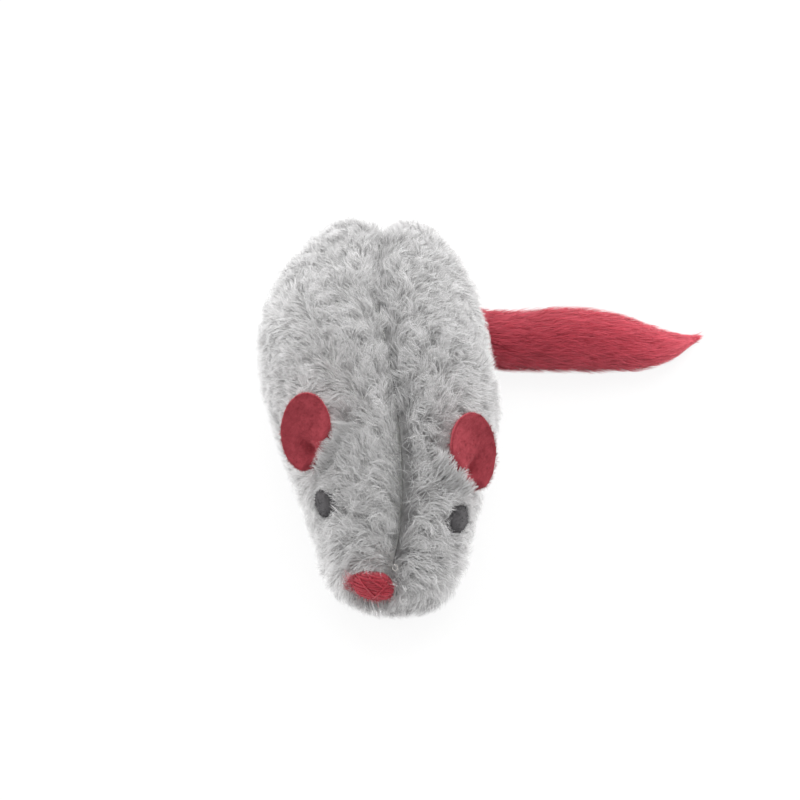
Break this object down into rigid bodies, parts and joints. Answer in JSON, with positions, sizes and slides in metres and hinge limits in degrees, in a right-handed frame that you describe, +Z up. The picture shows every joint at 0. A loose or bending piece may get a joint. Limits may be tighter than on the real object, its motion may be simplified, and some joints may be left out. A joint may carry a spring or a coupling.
{
  "type": "mouse cat toy",
  "caption": "Stuffed plush mouse for a cat, with felt ears and eyes, a stitched nose and a soft fur tail that swings and bends.",
  "frame": {"origin": "centre of the flat patch under the belly that the mouse rests on", "axes": "+Z up, nose towards -Y, the mouse's left and the resting tail towards +X"},
  "size_m": [0.0963, 0.0992, 0.041],
  "materials": {
    "grey_plush": "long soft pile",
    "red_fur": "soft fur",
    "red_felt": "matte felt",
    "dark_felt": "matte felt",
    "grey_thread": "spun thread",
    "red_thread": "satin thread",
    "fibre_filling": "loose fibre",
    "sachet_cloth": "thin nonwoven cloth",
    "dried_herb": "crumbled dry leaf"
  },
  "bodies": {
    "mouse_body": {"side_panel_left": "grey_plush", "side_panel_right": "grey_plush", "belly_panel": "grey_plush", "stuffing": "fibre_filling", "catnip_pouch": "sachet_cloth", "catnip": "dried_herb", "back_seam_thread": "grey_thread", "belly_seam_thread": "grey_thread", "closing_thread": "grey_thread", "ear_thread_left": "grey_thread", "ear_thread_right": "grey_thread", "eye_left": "dark_felt", "eye_right": "dark_felt", "nose": "red_thread", "nose_thread": "red_thread"},
    "left_ear": {"ear_left": "red_felt"},
    "right_ear": {"ear_right": "red_felt"},
    "tail_base": {"tail_root": "red_fur", "tail_thread": "red_thread"},
    "tail_tip": {"tail_end": "red_fur"}
  },
  "joints": [
    {"name": "ear_left_fold", "type": "hinge", "parent": "mouse_body", "child": "left_ear", "pos_m": [0.01679, -0.02576, 0.02511], "axis": [0.6226, -0.1704, -0.7637], "range_deg": [-20, 40], "stiffness_Nm_per_rad": 0.0004},
    {"name": "ear_right_fold", "type": "hinge", "parent": "mouse_body", "child": "right_ear", "pos_m": [-0.01287, -0.02232, 0.028], "axis": [0.4995, 0.4089, 0.7637], "range_deg": [-20, 40], "stiffness_Nm_per_rad": 0.0004},
    {"name": "tail_swing", "type": "hinge", "parent": "mouse_body", "child": "tail_base", "pos_m": [-0.00112, 0.04465, 0.007], "axis": [0, 0, 1], "range_deg": [0, 95]},
    {"name": "tail_bend", "type": "hinge", "parent": "tail_base", "child": "tail_tip", "pos_m": [0.02368, 0.03225, 0.0069], "axis": [0, 0, 1], "range_deg": [-50, 20]}
  ]
}
